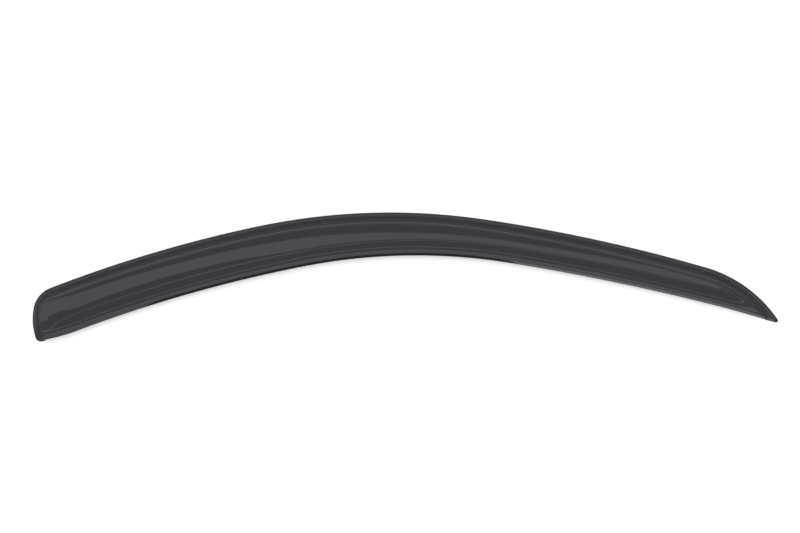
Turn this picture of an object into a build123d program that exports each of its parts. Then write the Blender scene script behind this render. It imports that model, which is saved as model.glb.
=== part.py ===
"""Window rain deflector for a front door: one thermoformed acrylic sheet, lying outer face up.

+X runs from the rear end to the pointed front tip, +Y towards the flange along the upper edge and
+Z out of the door. The origin is on the back of the flange, midway across its tape land, where the
upper edge peaks. Millimetres and degrees.
"""

import os
from math import cos, degrees, radians, sin, tan

from build123d import *

os.makedirs("parts", exist_ok=True)

# Sheet, and the flat land on the back of the flange that takes the mounting tape
sheet = 3.2
land_top = 12.7
land_rear = 8.0

# Riser between the flange and the crown: its slope, and the smaller radius of the bend at each end
riser_angle = 62.0
foot_bend = 2.0
shoulder_bend = 1.5

# Upper edge: tangent arcs forwards and rearwards from its peak
peak_radius = 935.0
peak_front_turn = 10.5
peak_rear_turn = 10.9
upper_front_radius = 2390.0
upper_front_turn = 8.4
tip_radius = 180.0
tip_turn = 70.0
upper_rear_radius = 1875.0
upper_rear_turn = 12.0

# Lower edge: its peak measured from the upper one, then tangent arcs both ways
lower_ahead = 40.3
lower_drop = 73.8
lower_radius = 855.0
lower_front_turn = 11.3
lower_rear_turn = 10.0
lower_front_radius = 3460.0
lower_front_run_turn = 8.2
lower_rear_radius = 2015.0
lower_rear_run_turn = 10.1
corner_sweep_radius = 250.0
corner_sweep_turn = 26.0

# Rear end: a bowed edge between two corners, and the rounding of the front tip
end_radius = 101.0
end_centre_x = -418.8
end_centre_y = -145.2
upper_corner = 38.0
lower_corner = 8.0
tip_round = 3.0

# Rounding of the trimmed edge on the outer side
rim_radius = 1.5

# Section above the lower edge, on the back face: a hollow lip, a flat facet, a crease and the crown
lip_angle = 2.0
lip_radius = 43.0
facet_angle = 21.0
facet_length = 10.0
crease_radius = 18.0
crown_over = 8.0

# Gap under the lip, narrower towards the tip
lip_gap = 7.0
lip_gap_ahead = 6.5
lip_gap_front = 5.0

# Crown's radius, flattest at the rear end
crown_radius_rear = 230.0
crown_radius_behind = 140.0
crown_radius = 108.0
crown_radius_ahead = 88.0
crown_radius_front = 70.0

# The gap, and the crown's slope at the crease and radius, at shares of the lower edge from its rear end
lip_gap_at = {0.0: lip_gap, 0.25: lip_gap, 0.5: lip_gap, 0.75: lip_gap_ahead, 1.0: lip_gap_front}
crown_angle_at = {0.0: 16.5, 0.25: 17.0, 0.5: 13.5, 0.75: 13.5, 1.0: 13.5}
crown_radius_at = {
    0.0: crown_radius_rear,
    0.25: crown_radius_behind,
    0.5: crown_radius,
    0.75: crown_radius_ahead,
    1.0: crown_radius_front,
}

# Stock around the formed shape, trimmed off later
stock_y = 420.0
stock_depth = 10.0
stock_height = 30.0
lip_stock = 30.0
lip_overrun = 6.0
end_arc_start = 95.0
end_arc_turn = 170.0

stock_x = 2 * stock_y
edge_y = land_top / 2
riser_run = stock_height / tan(radians(riser_angle))
riser_normal_z = cos(radians(riser_angle))
crown_normal_z = cos(radians(facet_angle + riser_angle / 2) / 2)
slope_match = 0.03
foot_setback = (foot_bend + sheet) * tan(radians(riser_angle / 2))
lip_start = lip_angle - degrees(lip_overrun / lip_radius)


def upper_area(inset):
    """Closed line around the area below the upper edge, moved in by the inset."""
    start = (0, edge_y - inset)
    peak_front = JernArc(start, (1, 0), peak_radius - inset, -peak_front_turn)
    front = JernArc(peak_front @ 1, peak_front % 1, upper_front_radius - inset, -upper_front_turn)
    tip = JernArc(front @ 1, front % 1, tip_radius - inset, -tip_turn)
    peak_rear = JernArc(start, (-1, 0), peak_radius - inset, peak_rear_turn)
    rear = JernArc(peak_rear @ 1, peak_rear % 1, upper_rear_radius - inset, upper_rear_turn)
    Polyline(tip @ 1, ((tip @ 1).X, -stock_y), ((rear @ 1).X, -stock_y), rear @ 1)


def end_area(inset):
    """Closed line around the area ahead of the rear end, moved in by the inset."""
    end = CenterArc((end_centre_x, end_centre_y), end_radius - inset, end_arc_start, end_arc_turn)
    top = (end @ 0).X
    foot = (end @ 1).X
    Polyline(end @ 0, (top, stock_y), (stock_x, stock_y), (stock_x, -stock_y), (foot, -stock_y), end @ 1)


def lower_lines():
    """Lower edge as tangent arcs that run past both ends; gives its front and rear end points."""
    start = (lower_ahead, edge_y - lower_drop)
    peak_front = JernArc(start, (1, 0), lower_radius, -lower_front_turn)
    front = JernArc(peak_front @ 1, peak_front % 1, lower_front_radius, -lower_front_run_turn)
    peak_rear = JernArc(start, (-1, 0), lower_radius, lower_rear_turn)
    rear = JernArc(peak_rear @ 1, peak_rear % 1, lower_rear_radius, lower_rear_run_turn)
    corner = JernArc(rear @ 1, rear % 1, corner_sweep_radius, -corner_sweep_turn)
    return front @ 1, corner @ 1


def riser_outline(level, inset_top, inset_rear):
    """Outline of the raised part at one level of the riser; it stays open past the lower edge."""
    with BuildSketch(Plane.XY.offset(level)) as raised:
        with BuildLine():
            upper_area(inset_top)
        make_face()
        with BuildLine():
            end_area(inset_rear)
        make_face(mode=Mode.INTERSECT)
        corner = raised.vertices().sort_by_distance((end_centre_x - end_radius, end_centre_y))[0]
        fillet(corner, upper_corner - inset_top)
    return raised.sketch


def crown_section(station, skin):
    """Filled section under the lip, facet and crown at a station of the lower edge."""
    along = lower_path % station
    across = Plane(origin=lower_path @ station, x_dir=(-along.Y, along.X, 0), z_dir=along)
    level = Vector(1, 0)
    lip_centre = Vector(0, lip_gap_at[station]) + lip_radius * level.rotate(Axis.Z, lip_angle + 90)
    lip_begin = lip_centre + (lip_radius - skin) * level.rotate(Axis.Z, lip_start - 90)
    downhill = level.rotate(Axis.Z, lip_start + 180)
    crown_angle = crown_angle_at[station]
    with BuildSketch(across) as section:
        with BuildLine():
            runout = Line(lip_begin + lip_stock * downhill, lip_begin)
            lip = JernArc(lip_begin, runout % 1, lip_radius - skin, facet_angle - lip_start)
            facet = Line(lip @ 1, lip @ 1 + facet_length * (lip % 1))
            crease = JernArc(facet @ 1, facet % 1, crease_radius + skin, crown_angle - facet_angle)
            crown_end = crown_angle + crown_over
            crown = JernArc(crease @ 1, crease % 1, crown_radius_at[station] + skin, -crown_end)
            Polyline(crown @ 1, ((crown @ 1).X, -stock_depth), ((runout @ 0).X, -stock_depth), runout @ 0)
        make_face()
    return section.sketch


def shared_edges(faces, others):
    """Edges where one group of faces meets another."""
    borders = others.edges()
    return faces.edges().filter_by(lambda edge: any(edge.is_same(border) for border in borders))


def riser_faces(formed):
    """Faces with the riser's slope."""
    return formed.faces().filter_by(lambda face: abs(face.normal_at().Z - riser_normal_z) < slope_match)


def formed_solid(skin):
    """Solid under the back face of the formed sheet, or under its outer face when skin is the sheet."""
    foot_top = land_top + foot_setback - skin / sin(radians(riser_angle))
    foot_rear = foot_top - land_top + land_rear
    with BuildPart() as formed:
        sections = [crown_section(station, skin) for station in lip_gap_at]
        sweep(sections=sections, path=lower_path, multisection=True)
        foot = riser_outline(0, foot_top, foot_rear)
        head = riser_outline(stock_height, foot_top + riser_run, foot_rear + riser_run)
        loft([foot, head], ruled=True, mode=Mode.INTERSECT)
        with BuildSketch(Plane.XY.offset(-stock_depth)):
            Rectangle(2 * stock_x, 2 * stock_y)
        extrude(amount=stock_depth + skin)
        flange = formed.faces().filter_by(Axis.Z).sort_by(Axis.Z)[-1:]
        fillet(shared_edges(riser_faces(formed), flange), foot_bend + sheet - skin)
        crowns = formed.faces().filter_by(lambda face: face.normal_at().Z > crown_normal_z)
        fillet(shared_edges(riser_faces(formed), crowns), shoulder_bend + skin)
    return formed.part


with BuildLine() as lower_edge:
    lower_lines()
lower_path = lower_edge.wire()

with BuildSketch() as trim:
    with BuildLine():
        upper_area(0)
    make_face()
    with BuildLine():
        front_end, rear_end = lower_lines()
        Polyline(front_end, (front_end.X, stock_y), (rear_end.X, stock_y), rear_end)
    make_face(mode=Mode.INTERSECT)
    with BuildLine():
        end_area(0)
    make_face(mode=Mode.INTERSECT)
    fillet(trim.vertices().sort_by(Axis.X)[-1], tip_round)
    rear_corners = trim.vertices().sort_by(Axis.X)[:2].sort_by(Axis.Y)
    fillet(rear_corners[1], upper_corner)
    fillet(trim.vertices().sort_by_distance(rear_corners[0].center())[0], lower_corner)

with BuildPart() as deflector_shell:
    add(formed_solid(sheet))
    add(formed_solid(0), mode=Mode.SUBTRACT)
    extrude(trim.sketch, amount=stock_height, mode=Mode.INTERSECT)
    fillet(deflector_shell.edges().sort_by_distance((0, edge_y, sheet))[0], rim_radius)

deflector_shell.part.label = "deflector_shell"
export_step(deflector_shell.part, "parts/deflector_shell.step")
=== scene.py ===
"""Looks of a window rain deflector: one dark smoked acrylic sheet, lying outer face up on a pale table.

The sheet is modelled again as two draped grids, its outer face and its back, closed by a rounded rim.
Metres and radians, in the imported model's frame: +X to the pointed front tip, +Y to the flange, +Z up.
"""

from math import cos, pi, radians, sin, tan

import bmesh
import bpy
import numpy as np
from bpy.props import FloatProperty, FloatVectorProperty, IntProperty, PointerProperty
from bpy.types import Operator, Panel, PropertyGroup
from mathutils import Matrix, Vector


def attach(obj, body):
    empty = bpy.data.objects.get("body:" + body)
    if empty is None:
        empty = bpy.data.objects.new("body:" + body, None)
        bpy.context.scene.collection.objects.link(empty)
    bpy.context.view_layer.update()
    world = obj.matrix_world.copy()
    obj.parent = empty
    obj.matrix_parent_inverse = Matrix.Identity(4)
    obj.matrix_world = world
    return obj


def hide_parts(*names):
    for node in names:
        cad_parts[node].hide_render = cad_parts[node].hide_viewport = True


bl_info = {
    "name": "Window Rain Deflector",
    "version": (1, 0, 0),
    "blender": (4, 5, 0),
    "location": "View3D > Sidebar > Deflector",
    "description": "Models a smoked acrylic window rain deflector and its studio stage",
    "category": "Object",
}

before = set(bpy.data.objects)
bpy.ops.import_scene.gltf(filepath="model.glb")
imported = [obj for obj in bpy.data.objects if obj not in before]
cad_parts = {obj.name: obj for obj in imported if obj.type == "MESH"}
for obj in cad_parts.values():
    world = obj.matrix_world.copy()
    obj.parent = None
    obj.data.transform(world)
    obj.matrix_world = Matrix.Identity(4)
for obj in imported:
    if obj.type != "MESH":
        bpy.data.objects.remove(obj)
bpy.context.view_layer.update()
SHELL_NODE = "deflector_shell"
ACRYLIC_SLOT = "smoked_acrylic"
PICTURE_SIZE = (800, 533)
SENSOR_WIDTH = 36.0

# Gap under the lip, the crown's slope at the crease in degrees, and the crown's and the crease's radius,
# at shares of the lower line
STATIONS = (0.0, 0.25, 0.36, 0.5, 0.75, 1.0)
LIP_GAP_AT = (0.007, 0.007, 0.007, 0.007, 0.0065, 0.005)
CROWN_ANGLE_AT = (12.4, 17.5, 14.9, 13.5, 13.5, 13.5)
CROWN_RADIUS_AT = (0.23, 0.145, 0.18, 0.13, 0.1, 0.19)
CREASE_RADIUS_AT = (0.03, 0.03, 0.014, 0.006, 0.006, 0.006)

# Share of its growth at which the facet starts to widen, and the least share of its width
FACET_START = 0.25
FACET_SLIVER = 0.03

# Search for the head of the riser: first guess and widest run from its foot, steepest rise of the crown
# beyond it, the share of the riser's height that its bends may fill, and the least share of their radii
RISER_GUESS = 0.012
RISER_REACH = 0.04
CROWN_RISE_LIMIT = 0.1
BEND_SHARE = 0.85
BEND_LEAST = 0.05

# Passes of the searches that close in on a place
RISER_PASSES = 30
CORNER_PASSES = 12
RIM_PASSES = 8

# Columns crowd towards both ends by this share, and advance at least this share of their spacing
COLUMN_CROWDING = 0.6
LEAST_ADVANCE = 0.12

# Distance within which points are merged, step over which a slope is measured, slack of a corner's arc,
# least distance that is divided by, sine that ends an arc, and angle from which an edge stays sharp
MERGE_DISTANCE = 1e-5
PROBE = 1e-5
ARC_SLACK = 1e-4
NOTHING = 1e-9
SINE_LIMIT = 0.99
SHARP_EDGE = radians(40)

# Acrylic: scale and detail of its noises, depth of the ripple, spread of the haze, the steepness over which
# it pales, and the rim's drop and steepness over which the cut finish comes in
ACRYLIC_IOR = 1.49
TINT_NOISE = (5.0, 3.0)
HAZE_NOISE = (38.0, 4.0)
RIPPLE_NOISE = (26.0, 1.0)
RIPPLE_DEPTH = 0.0006
HAZE_SPREAD = (0.7, 1.4)
STRETCH_FADE = (0.2, 0.45)
CUT_DROP_FADE = (0.0004, 0.0008)
CUT_STEEP_FADE = (0.3, 0.6)

# Colour sockets of a Mix node
MIX_BELOW, MIX_ABOVE, MIX_RESULT = 6, 7, 2

# Room: where the dark end in front, the high wall and the low wall behind fade in, along the axes of the
# direction or its bearing, which is x over y, and how far the high wall reaches round to the rear
LEAST_BEARING_Y = 0.05
DARK_BEARING = (0.45, 0.35)
DARK_AHEAD = (-0.05, -0.25)
DARK_BELOW = (0.86, 0.74)
HIGH_BEHIND = (0.36, 0.46)
HIGH_BELOW = (0.84, 0.79)
HIGH_REARWARD = -0.35
LOW_BEHIND = (-0.1, 0.1)
LOW_BELOW = (0.62, 0.56)
LOW_BEARING = (0.66, 0.52)

# Lamps: name, place, point that they face, size and surface brightness
LAMPS = (
    ("overhead_softbox", (-0.45, -0.27, 2.6), (-0.45, -0.27, 0), (3.9, 0.55), 0.77),
    ("front_strip", (-0.05, -1.055, 2.6), (-0.05, -0.1, 0), (3.9, 0.11), 1.0),
    ("left_panel", (-0.48, -0.8, 0.41), (-0.48, -0.1, 0), (0.56, 0.3), 1.4),
    ("right_panel", (0.37, -0.8, 0.41), (0.37, -0.1, 0), (0.56, 0.3), 2.8),
)
TABLE_ROUGHNESS = 0.9
TABLE_GLOSS = 0.1


def length(name, description, default):
    """A length property in metres."""
    return FloatProperty(name=name, description=description, default=default, unit="LENGTH", precision=4)


def angle(name, description, default):
    """An angle property, given in degrees."""
    return FloatProperty(name=name, description=description, default=radians(default), unit="ROTATION")


def stretch(name, description, default):
    """The start and end of a stretch along a line, in metres."""
    return FloatVectorProperty(name=name, description=description, default=default, size=2, unit="LENGTH",
                               precision=4)


def count(name, description, default):
    """A number of rows or columns."""
    return IntProperty(name=name, description=description, default=default, min=1)


def share_of(name, description, default):
    """A share from 0 to 1."""
    return FloatProperty(name=name, description=description, default=default, subtype="FACTOR",
                         min=0.0, max=1.0)


def brightness(name, description, default):
    """A brightness, where 1 is white."""
    return FloatProperty(name=name, description=description, default=default, min=0.0)


def colour(name, description, default):
    """A linear colour property."""
    return FloatVectorProperty(name=name, description=description, default=default, subtype="COLOR",
                               size=3, min=0.0, max=1.0)


class OutlineSizes(PropertyGroup):
    """Tangent arcs of the sheet's outline in plan."""

    peak_y: length("Peak height", "Upper edge's peak above the origin", 0.00635)
    peak_radius: length("Peak radius", "Upper edge at its peak", 0.935)
    peak_front_turn: angle("Peak front turn", "Turn of the peak arc ahead of the peak", 10.5)
    peak_rear_turn: angle("Peak rear turn", "Turn of the peak arc behind the peak", 10.9)
    upper_front_radius: length("Upper front radius", "Upper edge ahead of the peak arc", 2.39)
    upper_front_turn: angle("Upper front turn", "Turn of the upper front arc", 8.4)
    tip_radius: length("Tip radius", "Upper edge where it falls to the tip", 0.18)
    tip_turn: angle("Tip turn", "Turn of the tip arc, past the tip", 70.0)
    upper_rear_radius: length("Upper rear radius", "Upper edge behind the peak arc", 1.875)
    end_radius: length("End radius", "Bow of the rear end", 0.101)
    end_centre: FloatVectorProperty(name="End centre", description="Centre of the rear end's bow",
                                    default=(-0.4188, -0.1452), size=2, unit="LENGTH")
    end_turn: angle("End turn", "Turn of the rear end, past the lower corner", 75.0)
    upper_corner: length("Upper corner", "Rounding between the upper edge and the rear end", 0.038)
    lower_ahead: length("Lower peak ahead", "Lower edge's peak ahead of the upper one", 0.0403)
    lower_drop: length("Lower peak drop", "Lower edge's peak below the upper one", 0.0738)
    lower_radius: length("Lower radius", "Lower edge at its peak", 0.855)
    lower_front_turn: angle("Lower front turn", "Turn of the lower peak arc, forwards", 11.3)
    lower_rear_turn: angle("Lower rear turn", "Turn of the lower peak arc, rearwards", 10.0)
    lower_front_radius: length("Lower front radius", "Lower edge ahead of its peak arc", 3.46)
    lower_front_run_turn: angle("Lower front run", "Turn of the lower front arc, past the tip", 8.2)
    lower_rear_radius: length("Lower rear radius", "Lower edge behind its peak arc", 2.015)
    lower_rear_run_turn: angle("Lower rear run", "Turn of the lower rear arc", 10.1)
    corner_sweep_radius: length("Corner sweep radius", "Lower edge where it flares at the rear", 0.25)
    corner_sweep_turn: angle("Corner sweep turn", "Turn of the flare, past the rear end", 26.0)
    tip_round: length("Tip rounding", "Rounding of the front tip", 0.003)
    lower_corner: length("Lower corner", "Rounding of the rear lower corner", 0.008)


class SectionSizes(PropertyGroup):
    """Section of the formed sheet, on its back face."""

    sheet: length("Sheet", "Thickness of the acrylic", 0.0032)
    land_top: length("Upper land", "Flat flange along the upper edge", 0.0127)
    land_rear: length("Rear land", "Flat flange along the rear end", 0.008)
    riser_angle: angle("Riser angle", "Slope of the riser between flange and crown", 62.0)
    foot_bend: length("Foot bend", "Smaller radius of the bend at the riser's foot", 0.002)
    shoulder_bend: length("Shoulder bend", "Smaller radius of the bend at the riser's head", 0.0015)
    lip_angle: angle("Lip angle", "Slope of the hollow lip at the lower edge", 2.0)
    lip_radius: length("Lip radius", "Hollow of the lip", 0.043)
    facet_angle: angle("Facet angle", "Slope of the flat facet", 21.0)
    facet_length: length("Facet length", "Width of the flat facet", 0.01)
    facet_fade: angle("Facet fade", "Slope that the facet loses towards both ends", 3.4)
    facet_rear: stretch("Facet rear", "Stretch of the lower line where the facet grows", (0.053, 0.12))
    facet_front: stretch("Facet front", "Stretch of the lower line where the facet dies out", (1.138, 1.158))
    crown_flat: length("Crown flat", "Added to the crown's radius at both ends", 0.28)
    crown_rear: stretch("Crown rear", "Stretch of the lower line behind the full crown", (0.0562, 0.13))
    crown_fade: angle("Crown fade", "Slope that the crown gains at the front end", 5.0)
    crown_front: stretch("Crown front", "Stretch of the lower line where the crown dies out", (1.104, 1.118))
    rear_slope: angle("Rear slope", "Slope of the riser along the rear end", 75.0)
    tip_run: stretch("Tip run", "Stretch of the lower line where the raised part sinks", (1.108, 1.215))
    tip_fall: share_of("Tip fall", "Share of its height that the raised part loses there", 0.8)
    foot_ease: length("Foot ease", "Outer face's softer bend at the riser's foot", 0.0025)
    shoulder_ease: length("Shoulder ease", "Outer face's softer bend at the riser's head", 0.007)
    rear_ease: length("Rear ease", "Added to the bend of the shoulder at the rear end", -0.0045)
    bevel_width: length("Bevel width", "Tapered band along the upper edge and the rear end", 0.0066)
    bevel_slope: angle("Bevel slope", "Slope of the tapered band", 13.0)
    bevel_low: length("Bevel rim", "Rounding of the tapered band at its rim", 0.0012)
    bevel_high: length("Bevel start", "Rounding where the tapered band begins", 0.003)
    chamfer_width: length("Chamfer width", "Turned-down band along the lower edge", 0.0036)
    chamfer_slope: angle("Chamfer slope", "Slope of the turned-down band", 38.5)
    chamfer_low: length("Chamfer rim", "Rounding of the turned-down band at its rim", 0.0005)
    chamfer_high: length("Chamfer start", "Rounding where the turned-down band begins", 0.0015)


class MeshDensity(PropertyGroup):
    """Rows and columns of the draped grids."""

    survey: count("Survey", "Samples along the edge that find where the rows end", 3000)
    columns: count("Columns", "Columns from the front tip round to the rear corner", 430)
    land_rows: count("Land rows", "Rows across the flat of the flange", 4)
    bend_rows: count("Bend rows", "Rows across each bend of the riser", 8)
    riser_rows: count("Riser rows", "Rows up the riser", 4)
    crown_rows: count("Crown rows", "Rows from the shoulder to the lower edge", 34)
    rim_rows: count("Rim rows", "Rows round each bend of a rim", 4)


class AcrylicFinish(PropertyGroup):
    """Finish of the smoked acrylic."""

    smoke: colour("Smoke", "Body colour of the tinted sheet", (0.0225, 0.0222, 0.0265))
    smoke_deep: colour("Deep smoke", "Body colour where the tint is densest", (0.0188, 0.0186, 0.0225))
    smoke_thin: colour("Thin smoke", "Body colour where forming stretched the sheet", (0.036, 0.035, 0.041))
    smoke_cut: colour("Cut smoke", "Body colour of the trimmed rim", (0.05, 0.049, 0.055))
    sheen: colour("Sheen", "Tint of the reflections", (0.93, 0.89, 1.0))
    ripple: share_of("Ripple", "Strength of the formed sheet's ripple", 0.1)
    rim_roughness: share_of("Rim roughness", "Roughness added along the trimmed rim", 0.28)
    roughness: share_of("Roughness", "Roughness of the polished faces", 0.04)


class StudioSetup(PropertyGroup):
    """Camera, table and lights."""

    elevation: angle("Camera elevation", "Camera's height above the horizon", 72.0)
    turn: angle("Camera turn", "Camera's turn away from +Y, towards +X", 1.6835)
    distance: length("Camera distance", "Camera to the point that it looks at", 2.1229)
    aim: FloatVectorProperty(name="Camera aim", description="Point on the table at the picture's centre",
                             default=(0.0397, -0.0825, 0.0), size=3, unit="LENGTH")
    focal_pixels: FloatProperty(name="Focal length", description="Focal length in pixels of the picture",
                                default=1382.0, subtype="PIXEL")
    table: colour("Table", "Pale table top", (0.86, 0.86, 0.86))
    table_size: length("Table size", "Width of the table top", 12.0)
    table_lift: brightness("Table lift", "Added white of the table as the camera sees it", 0.37)
    room: brightness("Room light", "Brightness of the room overhead", 0.72)
    high_wall: brightness("High wall", "Brightness of the wall behind, high up", 1.25)
    low_wall: brightness("Low wall", "Brightness of the wall behind, low down", 0.85)
    side_wall: brightness("Side wall", "Brightness of the side walls", 0.5)
    shade: brightness("Shade", "Brightness of the dark end of the room in front", 0.06)


def smooth_along(share, values):
    """Value at a share of the lower edge, on a smooth line through the stations."""
    slopes = np.gradient(values, STATIONS)
    span = np.clip(np.searchsorted(STATIONS, share, side="right") - 1, 0, len(STATIONS) - 2)
    step = np.take(STATIONS, span + 1) - np.take(STATIONS, span)
    t = (share - np.take(STATIONS, span)) / step
    low = np.take(values, span) * (1 + 2 * t) * (1 - t) ** 2 + np.take(slopes, span) * step * t * (1 - t) ** 2
    high = np.take(values, span + 1) * t**2 * (3 - 2 * t) - np.take(slopes, span + 1) * step * t**2 * (1 - t)
    return low + high


def soft_step(value, span):
    """Smooth step from 0 to 1 over a stretch."""
    t = np.clip((value - span[0]) / (span[1] - span[0]), 0, 1)
    return t**2 * (3 - 2 * t)


def turned(vectors, turn):
    """Plan vectors turned to the left."""
    c, s = np.cos(turn), np.sin(turn)
    x, y = vectors[..., 0], vectors[..., 1]
    return np.stack([c * x - s * y, s * x + c * y], axis=-1)


class ArcLine:
    """Tangent arcs laid end to end in plan; a positive turn is to the left."""

    def __init__(self, start, heading, arcs):
        start = np.array(start, float)
        heading = np.array(heading, float)
        self.arcs = []
        self.length = 0.0
        for radius, turn in arcs:
            side = 1.0 if turn > 0 else -1.0
            centre = start + turned(heading, side * pi / 2) * radius
            self.arcs.append((centre, start - centre, radius, turn, side, self.length))
            self.length += radius * abs(turn)
            start = centre + turned(start - centre, turn)
            heading = turned(heading, turn)
        self.end = start
        self.end_heading = heading

    def place(self, along):
        """Points at distances along the line, and the unit normals to its left."""
        points = np.zeros(along.shape + (2,))
        normals = np.zeros_like(points)
        for index, (centre, spoke, radius, turn, side, begin) in enumerate(self.arcs):
            last = index == len(self.arcs) - 1
            upto = np.inf if last else begin + radius * abs(turn)
            here = (along < upto) & ((along >= begin) | (index == 0))
            out = turned(spoke / radius, side * (along - begin) / radius)
            points[here] = (centre + out * radius)[here]
            normals[here] = (-side * out)[here]
        return points, normals

    def locate(self, points):
        """Distance along the line of the nearest place, and how far to the left of it each point lies."""
        along = np.zeros(points.shape[:-1])
        left = np.full(points.shape[:-1], np.inf)
        for index, (centre, spoke, radius, turn, side, begin) in enumerate(self.arcs):
            away = points - centre
            sweep = np.arctan2(spoke[0] * away[..., 1] - spoke[1] * away[..., 0], away @ spoke) * side
            first = index == 0
            last = index == len(self.arcs) - 1
            inside = (first | (sweep >= 0)) & (last | (sweep <= abs(turn)))
            offset = side * (radius - np.linalg.norm(away, axis=-1))
            better = inside & (np.abs(offset) < np.abs(left))
            along = np.where(better, begin + sweep * radius, along)
            left = np.where(better, offset, left)
        return along, left


def circle_meeting(centre_a, radius_a, centre_b, radius_b):
    """The upper left meeting point of two circles."""
    gap = centre_b - centre_a
    span = np.linalg.norm(gap)
    axis = gap / span
    share = (span**2 + radius_a**2 - radius_b**2) / (2 * span)
    rise = np.sqrt(radius_a**2 - share**2)
    either = [centre_a + axis * share + turned(axis, side * pi / 2) * rise for side in (1, -1)]
    return min(either, key=lambda point: point[0] - point[1])


def turn_between(a, b):
    """Left turn from one plan vector to another."""
    return np.arctan2(a[0] * b[1] - a[1] * b[0], a @ b)


def upper_line(outline, end_grow):
    """Upper edge and rear end, from past the tip to past the rear corner, with the bow of the end grown."""
    ahead = ArcLine((0, outline.peak_y), (1, 0), (
        (outline.peak_radius, -outline.peak_front_turn),
        (outline.upper_front_radius, -outline.upper_front_turn),
        (outline.tip_radius, -outline.tip_turn),
    ))
    behind = ArcLine((0, outline.peak_y), (-1, 0), (
        (outline.peak_radius, outline.peak_rear_turn),
        (outline.upper_rear_radius, pi / 4),
    ))
    rear_centre, rear_spoke = behind.arcs[1][:2]
    end_centre = np.array(outline.end_centre)
    end_radius = outline.end_radius + end_grow
    corner = circle_meeting(rear_centre, outline.upper_rear_radius - outline.upper_corner,
                            end_centre, end_radius - outline.upper_corner)
    rear_turn = turn_between(rear_spoke, corner - rear_centre)
    corner_turn = turn_between(corner - rear_centre, corner - end_centre)
    return ArcLine(ahead.end, -ahead.end_heading, (
        (outline.tip_radius, outline.tip_turn),
        (outline.upper_front_radius, outline.upper_front_turn),
        (outline.peak_radius, outline.peak_front_turn + outline.peak_rear_turn),
        (outline.upper_rear_radius, rear_turn),
        (outline.upper_corner, corner_turn),
        (end_radius, outline.end_turn),
    ))


def lower_line(outline):
    """Lower edge from past the rear end to past the tip."""
    peak = (outline.lower_ahead, outline.peak_y - outline.lower_drop)
    behind = ArcLine(peak, (-1, 0), (
        (outline.lower_radius, outline.lower_rear_turn),
        (outline.lower_rear_radius, outline.lower_rear_run_turn),
        (outline.corner_sweep_radius, -outline.corner_sweep_turn),
    ))
    return ArcLine(behind.end, -behind.end_heading, (
        (outline.corner_sweep_radius, outline.corner_sweep_turn),
        (outline.lower_rear_radius, -outline.lower_rear_run_turn),
        (outline.lower_radius, -outline.lower_rear_turn - outline.lower_front_turn),
        (outline.lower_front_radius, -outline.lower_front_run_turn),
    ))


def crown_height(section, lower, points, skin):
    """Height of the lip, facet and crown over plan points; skin is the sheet for the outer face."""
    along, across = lower.locate(points)
    share = np.clip(along / lower.length, 0, 1)
    lip = section.lip_angle
    grown = soft_step(along, section.facet_rear)
    full = grown * (1 - soft_step(along, section.facet_front))
    facet = section.facet_angle - section.facet_fade * (1 - full)
    widened = np.clip((grown - FACET_START) / (1 - FACET_START), FACET_SLIVER, 1)
    facet_length = section.facet_length * np.sqrt(widened)
    rear = 1 - soft_step(along, section.crown_rear)
    front = soft_step(along, section.crown_front)
    crown = np.radians(smooth_along(share, CROWN_ANGLE_AT)) + section.crown_fade * front
    crown = np.minimum(crown, facet)
    lip_radius = section.lip_radius - skin
    crease_radius = smooth_along(share, CREASE_RADIUS_AT) + skin
    crown_radius = smooth_along(share, CROWN_RADIUS_AT) + section.crown_flat * (rear + front) + skin
    lip_across = -section.lip_radius * sin(lip)
    lip_base = smooth_along(share, LIP_GAP_AT) + section.lip_radius * cos(lip) - lip_radius
    facet_across = lip_across + lip_radius * np.sin(facet)
    facet_base = lip_base + lip_radius * (1 - np.cos(facet))
    crease_across = facet_across + facet_length * np.cos(facet)
    crease_base = facet_base + facet_length * np.sin(facet)
    crown_across = crease_across + crease_radius * (np.sin(facet) - np.sin(crown))
    crown_base = crease_base + crease_radius * (np.cos(crown) - np.cos(facet))

    def rise(radius, begin, distance, bend):
        """Rise over a distance along an arc that starts at a slope; bend is 1 hollow, -1 crowned."""
        slope = np.arcsin(np.clip(np.sin(begin) + bend * distance / radius, -SINE_LIMIT, SINE_LIMIT))
        return bend * radius * (np.cos(begin) - np.cos(slope))

    height = lip_base + rise(lip_radius, 0.0, across - lip_across, 1)
    height = np.where(across > facet_across, facet_base + (across - facet_across) * np.tan(facet), height)
    height = np.where(across > crease_across,
                      crease_base + rise(crease_radius, facet, across - crease_across, -1), height)
    height = np.where(across > crown_across,
                      crown_base + rise(crown_radius, crown, across - crown_across, -1), height)
    return skin + (height - skin) * (1 - section.tip_fall * soft_step(along, section.tip_run))


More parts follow.
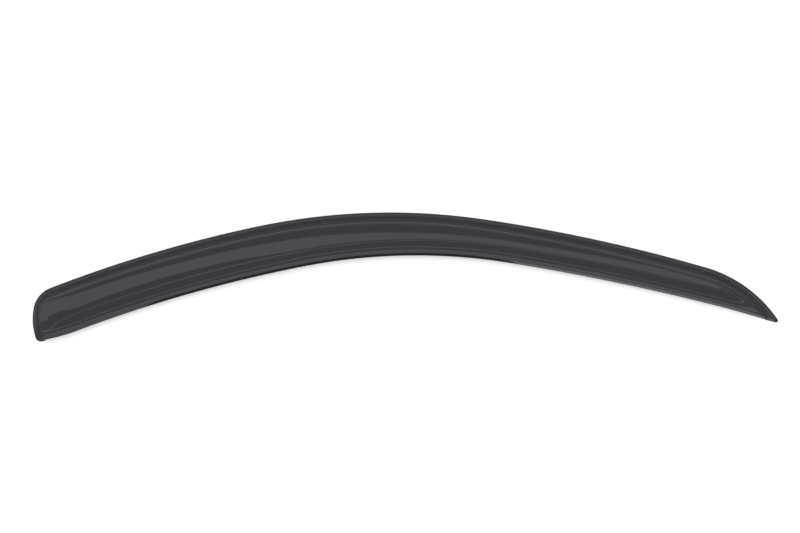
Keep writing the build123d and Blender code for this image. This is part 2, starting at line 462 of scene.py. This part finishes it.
def riser_rows(section, density, rim, crown_at, skin, rearward):
    """Insets from the upper line and heights of each row over the flange, foot, riser and shoulder."""
    rear = np.clip(rearward, 0, 1) ** 2
    slope = section.riser_angle + (section.rear_slope - section.riser_angle) * rear
    foot = section.land_top + (section.foot_bend + section.sheet) * np.tan(slope / 2) - skin / np.sin(slope)
    if skin > 0:
        soft_foot = section.foot_ease
        soft_shoulder = section.shoulder_ease + section.rear_ease * rear
    else:
        soft_foot = section.foot_bend + section.sheet
        soft_shoulder = np.full_like(rear, section.shoulder_bend)
    shoulder_radius = soft_shoulder
    touch = np.full_like(rearward, foot + RISER_GUESS)
    for _ in range(RISER_PASSES):
        level = crown_at(touch)
        fall = np.minimum((crown_at(touch + PROBE) - level) / PROBE, CROWN_RISE_LIMIT)
        meet = (level - fall * touch + foot * np.tan(slope)) / (np.tan(slope) - fall)
        meet = np.clip(meet, foot, foot + RISER_REACH)
        droop = np.arctan(fall)
        room = ((meet - foot) * np.tan(slope) - skin) / (1 - np.cos(slope))
        easing = np.clip(BEND_SHARE * room / (soft_foot + soft_shoulder), BEND_LEAST, 1)
        shoulder_radius = (shoulder_radius + soft_shoulder * easing) / 2
        setback = shoulder_radius * np.tan((slope - droop) / 2)
        touch = meet + setback * np.cos(droop)
    foot_radius = soft_foot * easing
    foot_begin = foot + skin / np.tan(slope) - foot_radius * np.tan(slope / 2)
    head = meet - setback * np.cos(slope)
    head_height = (meet - foot) * np.tan(slope) - setback * np.sin(slope)

    def steps(rows):
        """Shares at the end of each of a number of rows."""
        return np.linspace(0, 1, rows + 1)[1:]

    insets = list(rim)
    insets += [rim[-1] + (foot_begin - rim[-1]) * step for step in steps(density.land_rows)]
    heights = [np.full_like(rearward, skin) for _ in insets]
    for step in steps(density.bend_rows):
        insets.append(foot_begin + foot_radius * np.sin(slope * step))
        heights.append(skin + foot_radius * (1 - np.cos(slope * step)))
    base, base_height = insets[-1], heights[-1]
    for step in steps(density.riser_rows):
        insets.append(base * (1 - step) + head * step)
        heights.append(base_height * (1 - step) + head_height * step)
    for step in steps(density.bend_rows):
        bend = slope + (droop - slope) * step
        insets.append(head + shoulder_radius * (np.sin(slope) - np.sin(bend)))
        heights.append(head_height + shoulder_radius * (np.cos(bend) - np.cos(slope)))
    return np.array(insets), np.array(heights)


def rim_profile(width, slope, low, high, rows):
    """Distances in from a trimmed edge, and drops, of a sloped band with a rounding at each side."""
    turns = np.linspace(pi / 2, slope, rows)
    rests = np.linspace(slope, 0, rows)
    run = width - high * sin(slope) - low * (1 - sin(slope))
    fall = high * (1 - cos(slope)) + run * tan(slope)
    distances = np.concatenate([low * (1 - np.sin(turns)), width - high * np.sin(rests)])
    drops = np.concatenate([fall + low * (cos(slope) - np.cos(turns)), high * (1 - np.cos(rests))])
    return distances, drops


def rounded_corner(plan, corner, line_a, line_b, radius):
    """Moves plan points around a corner of two lines so that it becomes an arc."""
    centre = np.array(corner)
    for _ in range(CORNER_PASSES):
        gaps, facings = [], []
        for line in (line_a, line_b):
            along, left = line.locate(centre)
            gaps.append(radius - left)
            facings.append(line.place(np.array([along]))[1][0])
        facings = np.array(facings)
        centre = centre + np.linalg.solve(facings @ facings.T, np.array(gaps)) @ facings
    away = plan - centre
    reach = np.maximum(np.linalg.norm(away, axis=-1), NOTHING)
    off_a, off_b = [np.arccos(np.clip(away @ -facing / reach, -1, 1)) for facing in facings]
    opening = np.arccos(np.clip(facings[0] @ facings[1], -1, 1))
    inside = off_a + off_b < opening + ARC_SLACK
    pull = np.where(inside, np.cos(np.minimum(off_a, off_b)), 1.0)
    return centre + away * pull[..., None]


def face_table(settings, skin):
    """Place of every grid point of one face, and how far the rim drops there, as rows by columns."""
    outline, section, density = settings.outline, settings.section, settings.density
    land_line = upper_line(outline, section.land_top - section.land_rear)
    edge_line = upper_line(outline, 0.0)
    lower = lower_line(outline)
    bevel, bevel_drops = rim_profile(section.bevel_width, section.bevel_slope, section.bevel_low,
                                     section.bevel_high, density.rim_rows)
    lip, lip_drops = rim_profile(section.chamfer_width, section.chamfer_slope, section.chamfer_low,
                                 section.chamfer_high, density.rim_rows)

    def rows_at(along):
        """Plan points and heights of the rows from the upper edge to the shoulder."""
        points, inward = land_line.place(along)
        rim = []
        for distance in bevel:
            inset = np.full(along.shape, distance)
            for _ in range(RIM_PASSES):
                inset = inset + distance - edge_line.locate(points + inward * inset[..., None])[1]
            rim.append(inset)

        def crown_at(inset):
            """Height of the crown at an inset from the upper line."""
            return crown_height(section, lower, points + inward * inset[..., None], skin)

        insets, heights = riser_rows(section, density, rim, crown_at, skin, inward[..., 0])
        return points + inward * insets[..., None], heights

    survey = np.linspace(0, land_line.length, density.survey)
    clear = lower.locate(rows_at(survey)[0])[1]
    steps = np.linspace(0, 1, density.columns + 1)[1:-1]
    graded = steps - COLUMN_CROWDING * np.sin(2 * pi * steps) / (2 * pi)
    plans, levels = [], []
    for index, row in enumerate(clear):
        begins, ends = [], []
        for distance in lip:
            held = np.flatnonzero(row > distance)
            first, last = held[0], held[-1]
            begins.append(np.interp(distance, row[[first - 1, first]], survey[[first - 1, first]]))
            ends.append(np.interp(distance, row[[last + 1, last]], survey[[last + 1, last]]))
        along = np.concatenate([begins, begins[-1] + (ends[-1] - begins[-1]) * graded, ends[::-1]])
        plan, heights = rows_at(along)
        plans.append(plan[index])
        levels.append(heights[index])
    shoulder = plans[-1]
    depth = np.maximum(lower.locate(shoulder)[1], NOTHING)
    front, rear = lower.locate(shoulder[[0, -1]])[0]
    moves = np.diff(shoulder, axis=0)
    facing = lower.place(lower.locate((shoulder[1:] + shoulder[:-1]) / 2)[0])[1]
    advance = np.abs(moves[:, 0] * facing[:, 1] - moves[:, 1] * facing[:, 0])
    advance = np.maximum(advance, LEAST_ADVANCE * np.linalg.norm(moves, axis=1))
    travel = np.concatenate([[0], np.cumsum(advance)]) / advance.sum()
    edge = lower.place(front + (rear - front) * travel)[0]
    rim_depth = np.minimum(lip[-1], depth)
    depths = [depth + (rim_depth - depth) * step for step in np.linspace(0, 1, density.crown_rows + 1)[1:]]
    depths += [np.minimum(distance, depth) for distance in lip[-2::-1]]
    for target in depths:
        plan = shoulder + (edge - shoulder) * (1 - target / depth)[:, None]
        plans.append(plan)
        levels.append(crown_height(section, lower, plan, skin))
    plan, level = np.array(plans), np.array(levels)
    bevel_drop = np.interp(edge_line.locate(plan)[1], bevel, bevel_drops)
    lip_drop = np.interp(lower.locate(plan)[1], lip, lip_drops)
    drop = np.cbrt(bevel_drop**3 + lip_drop**3)
    if skin > 0:
        level = level - drop
    plan = rounded_corner(plan, plan[0, 0], edge_line, lower, outline.tip_round)
    plan = rounded_corner(plan, plan[0, -1], edge_line, lower, outline.lower_corner)
    return np.concatenate([plan, level[..., None], drop[..., None]], axis=-1)


def drape(mesh, table, rim):
    """Adds a flat grid and moves each of its points to its place in the table."""
    rows, columns = len(table) - 1, len(table[0]) - 1
    grid = bmesh.ops.create_grid(mesh, x_segments=columns, y_segments=rows, size=1.0)["verts"]
    for vert in grid:
        column = round((vert.co.x + 1) / 2 * columns)
        row = round((vert.co.y + 1) / 2 * rows)
        vert.co = table[row][column][:3]
        vert[rim] = table[row][column][3]
    bmesh.ops.remove_doubles(mesh, verts=grid, dist=MERGE_DISTANCE)


def open_rims(mesh):
    """Edges round the open borders of the sheets."""
    return [edge for edge in mesh.edges if edge.is_boundary]


def object_from(mesh, name):
    """A scene object at the origin that holds the finished mesh."""
    data = bpy.data.meshes.new(name)
    mesh.to_mesh(data)
    mesh.free()
    made = bpy.data.objects.new(name, data)
    bpy.context.scene.collection.objects.link(made)
    return made


def smoked_acrylic(finish):
    """Dark tinted acrylic: faintly rippled, paler where it was stretched, satin along the trimmed rim."""
    material = bpy.data.materials.new(ACRYLIC_SLOT)
    material.use_nodes = True
    nodes, links = material.node_tree.nodes, material.node_tree.links
    shader = nodes["Principled BSDF"]
    shader.inputs["IOR"].default_value = ACRYLIC_IOR
    shader.inputs["Specular Tint"].default_value = (*finish.sheen, 1)
    place = nodes.new("ShaderNodeTexCoord")

    def noise(scale, detail):
        """Noise over the sheet."""
        node = nodes.new("ShaderNodeTexNoise")
        node.inputs["Scale"].default_value = scale
        node.inputs["Detail"].default_value = detail
        links.new(place.outputs["Object"], node.inputs["Vector"])
        return node.outputs["Fac"]

    def attribute(name):
        """A value that the mesh carries."""
        node = nodes.new("ShaderNodeAttribute")
        node.attribute_name = name
        return node.outputs["Fac"]

    def ranged(value, span, result=(0.0, 1.0)):
        """A value moved from one range to another, held at its ends."""
        node = nodes.new("ShaderNodeMapRange")
        node.inputs["From Min"].default_value, node.inputs["From Max"].default_value = span
        node.inputs["To Min"].default_value, node.inputs["To Max"].default_value = result
        links.new(value, node.inputs["Value"])
        return node.outputs["Result"]

    def combined(operation, a, b):
        """Two values combined."""
        node = nodes.new("ShaderNodeMath")
        node.operation = operation
        links.new(a, node.inputs[0])
        links.new(b, node.inputs[1])
        return node.outputs["Value"]

    def mixed(share, below, above):
        """A colour laid over another colour or socket by a share."""
        node = nodes.new("ShaderNodeMix")
        node.data_type = "RGBA"
        links.new(share, node.inputs["Factor"])
        if isinstance(below, bpy.types.NodeSocket):
            links.new(below, node.inputs[MIX_BELOW])
        else:
            node.inputs[MIX_BELOW].default_value = (*below, 1)
        node.inputs[MIX_ABOVE].default_value = (*above, 1)
        return node.outputs[MIX_RESULT]

    steep = attribute("steep")
    stretched = ranged(steep, STRETCH_FADE)
    cut = combined("MULTIPLY", ranged(attribute("rim"), CUT_DROP_FADE), ranged(steep, CUT_STEEP_FADE))
    tint = mixed(noise(*TINT_NOISE), finish.smoke, finish.smoke_deep)
    tint = mixed(cut, mixed(stretched, tint, finish.smoke_thin), finish.smoke_cut)
    links.new(tint, shader.inputs["Base Color"])
    haze = ranged(noise(*HAZE_NOISE), (0.0, 1.0), [finish.roughness * spread for spread in HAZE_SPREAD])
    satin = ranged(cut, (0.0, 1.0), (0.0, finish.rim_roughness))
    links.new(combined("ADD", haze, satin), shader.inputs["Roughness"])
    bump = nodes.new("ShaderNodeBump")
    bump.inputs["Strength"].default_value = finish.ripple
    bump.inputs["Distance"].default_value = RIPPLE_DEPTH
    links.new(noise(*RIPPLE_NOISE), bump.inputs["Height"])
    links.new(bump.outputs["Normal"], shader.inputs["Normal"])
    return material


class DEFLECTOR_OT_shell(Operator):
    """Model the formed acrylic sheet"""

    bl_idname = "deflector.shell"
    bl_label = "Formed Sheet"

    def execute(self, context):
        settings = context.scene.deflector
        section = settings.section
        mesh = bmesh.new()
        layers = mesh.verts.layers.float
        for name in ("rim", "steep"):
            layers.new(name)
        rim, steep = layers["rim"], layers["steep"]
        for skin in (section.sheet, 0.0):
            drape(mesh, face_table(settings, skin), rim)
        bmesh.ops.bridge_loops(mesh, edges=open_rims(mesh))
        if open_rims(mesh):
            raise RuntimeError("The rims of the outer face and the back don't close")
        bmesh.ops.recalc_face_normals(mesh, faces=mesh.faces)
        mesh.normal_update()
        for vert in mesh.verts:
            vert[steep] = 1 - abs(vert.normal.z)
        for face in mesh.faces:
            face.smooth = True
        for edge in mesh.edges:
            edge.smooth = edge.calc_face_angle(0) < SHARP_EDGE
        shell = object_from(mesh, "formed_sheet")
        shell.data.materials.append(smoked_acrylic(settings.finish))
        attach(shell, "root")
        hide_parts(SHELL_NODE)
        return {"FINISHED"}


def table_material(studio):
    """Pale matt table that the camera sees as white, and that keeps the shadow."""
    material = bpy.data.materials.new("pale_table")
    material.use_nodes = True
    nodes, links = material.node_tree.nodes, material.node_tree.links
    shader = nodes["Principled BSDF"]
    shader.inputs["Base Color"].default_value = (*studio.table, 1)
    shader.inputs["Roughness"].default_value = TABLE_ROUGHNESS
    shader.inputs["Specular IOR Level"].default_value = TABLE_GLOSS
    shader.inputs["Emission Color"].default_value = (1, 1, 1, 1)
    path = nodes.new("ShaderNodeLightPath")
    lift = nodes.new("ShaderNodeMath")
    lift.operation = "MULTIPLY"
    lift.inputs[1].default_value = studio.table_lift
    links.new(path.outputs["Is Camera Ray"], lift.inputs[0])
    links.new(lift.outputs["Value"], shader.inputs["Emission Strength"])
    return material


def studio_room(studio):
    """Even room with a bright wall behind and a dark end in front; the camera sees it white."""
    world = bpy.data.worlds.new("studio_room")
    world.use_nodes = True
    nodes, links = world.node_tree.nodes, world.node_tree.links
    background = nodes["Background"]
    background.inputs["Color"].default_value = (1, 1, 1, 1)
    place = nodes.new("ShaderNodeTexCoord")
    axes = nodes.new("ShaderNodeSeparateXYZ")
    links.new(place.outputs["Generated"], axes.inputs["Vector"])

    def worked(operation, *values):
        """A math node on sockets or numbers; gives its output."""
        node = nodes.new("ShaderNodeMath")
        node.operation = operation
        for socket, value in zip(node.inputs, values):
            if isinstance(value, (int, float)):
                socket.default_value = value
            else:
                links.new(value, socket)
        return node.outputs["Value"]

    def ease(value, span):
        """Smooth step from 0 to 1 over a span."""
        node = nodes.new("ShaderNodeMapRange")
        node.interpolation_type = "SMOOTHSTEP"
        node.inputs["From Min"].default_value, node.inputs["From Max"].default_value = span
        links.new(value, node.inputs["Value"])
        return node.outputs["Result"]

    def product(*values):
        """All of the values multiplied."""
        result = values[0]
        for value in values[1:]:
            result = worked("MULTIPLY", result, value)
        return result

    def blend(below, above, share):
        """One brightness laid over another by a share."""
        kept = worked("MULTIPLY", worked("SUBTRACT", 1.0, share), below)
        return worked("ADD", worked("MULTIPLY", share, above), kept)

    x, y, z = (axes.outputs[axis] for axis in "XYZ")
    bearing = worked("DIVIDE", x, worked("MAXIMUM", worked("ABSOLUTE", y), LEAST_BEARING_Y))
    aside = worked("ABSOLUTE", bearing)
    ahead = product(ease(aside, DARK_BEARING), ease(y, DARK_AHEAD), ease(z, DARK_BELOW))
    rearward = worked("MULTIPLY", worked("MINIMUM", x, 0.0), HIGH_REARWARD)
    high_behind = product(ease(worked("ADD", y, rearward), HIGH_BEHIND), ease(z, HIGH_BELOW))
    low_behind = product(ease(z, LOW_BELOW), ease(y, LOW_BEHIND))
    wall_behind = product(low_behind, ease(aside, LOW_BEARING))
    light = blend(studio.room, studio.shade, ahead)
    light = blend(light, studio.high_wall, high_behind)
    light = blend(light, studio.side_wall, low_behind)
    light = blend(light, studio.low_wall, wall_behind)
    path = nodes.new("ShaderNodeLightPath")
    light = worked("MAXIMUM", light, path.outputs["Is Camera Ray"])
    links.new(light, background.inputs["Strength"])
    return world


def area_lamp(name, place, aim, size, radiance):
    """A soft rectangular lamp that shines at a point, with a given surface brightness."""
    lamp = bpy.data.lights.new(name, "AREA")
    lamp.shape = "RECTANGLE"
    lamp.size, lamp.size_y = size
    lamp.energy = radiance * pi * size[0] * size[1]
    held = bpy.data.objects.new(name, lamp)
    held.location = place
    held.rotation_euler = (Vector(aim) - Vector(place)).to_track_quat("-Z", "Y").to_euler()
    bpy.context.scene.collection.objects.link(held)


class DEFLECTOR_OT_stage(Operator):
    """Set the table, the lights and the camera"""

    bl_idname = "deflector.stage"
    bl_label = "Studio Stage"

    def execute(self, context):
        studio = context.scene.deflector.studio
        scene = context.scene
        scene.view_settings.view_transform = "Standard"
        mesh = bmesh.new()
        bmesh.ops.create_grid(mesh, x_segments=1, y_segments=1, size=studio.table_size / 2)
        table = object_from(mesh, "table_top")
        table.data.materials.append(table_material(studio))

        scene.world = studio_room(studio)
        for lamp in LAMPS:
            area_lamp(*lamp)

        lens = bpy.data.cameras.new("photo_camera")
        lens.sensor_fit = "HORIZONTAL"
        lens.sensor_width = SENSOR_WIDTH
        lens.lens = studio.focal_pixels * SENSOR_WIDTH / PICTURE_SIZE[0]
        camera = bpy.data.objects.new("photo_camera", lens)
        flat = cos(studio.elevation)
        ray = Vector((sin(studio.turn) * flat, cos(studio.turn) * flat, -sin(studio.elevation)))
        camera.location = Vector(studio.aim) - ray * studio.distance
        camera.rotation_euler = ray.to_track_quat("-Z", "Y").to_euler()
        scene.collection.objects.link(camera)
        scene.camera = camera
        return {"FINISHED"}


class DeflectorSettings(PropertyGroup):
    """Everything that the operators read."""

    outline: PointerProperty(type=OutlineSizes, name="Outline", description="Plan of the sheet")
    section: PointerProperty(type=SectionSizes, name="Section", description="Section of the sheet")
    density: PointerProperty(type=MeshDensity, name="Mesh", description="Rows and columns")
    finish: PointerProperty(type=AcrylicFinish, name="Finish", description="Smoked acrylic")
    studio: PointerProperty(type=StudioSetup, name="Studio", description="Camera, table and lights")


class DEFLECTOR_PT_panel(Panel):
    """Sidebar list of the deflector's operators"""

    bl_label = "Window Rain Deflector"
    bl_idname = "DEFLECTOR_PT_panel"
    bl_space_type = "VIEW_3D"
    bl_region_type = "UI"
    bl_category = "Deflector"

    def draw(self, context):
        for operator in OPERATORS:
            self.layout.operator(operator.bl_idname)
        settings = context.scene.deflector
        for group in (settings.outline, settings.section, settings.density, settings.finish, settings.studio):
            box = self.layout.box()
            for name in group.bl_rna.properties.keys():
                if name not in ("name", "rna_type"):
                    box.prop(group, name)


OPERATORS = (DEFLECTOR_OT_shell, DEFLECTOR_OT_stage)
CLASSES = (OutlineSizes, SectionSizes, MeshDensity, AcrylicFinish, StudioSetup, DeflectorSettings,
           *OPERATORS, DEFLECTOR_PT_panel)


def register():
    """Makes the settings, operators and panel known."""
    for each in CLASSES:
        bpy.utils.register_class(each)
    bpy.types.Scene.deflector = PointerProperty(type=DeflectorSettings)


def unregister():
    """Takes them away again."""
    del bpy.types.Scene.deflector
    for each in reversed(CLASSES):
        bpy.utils.unregister_class(each)


def main():
    """Makes the piece and its stage."""
    register()
    bpy.ops.deflector.shell()
    bpy.ops.deflector.stage()


if __name__ == "__main__":
    main()
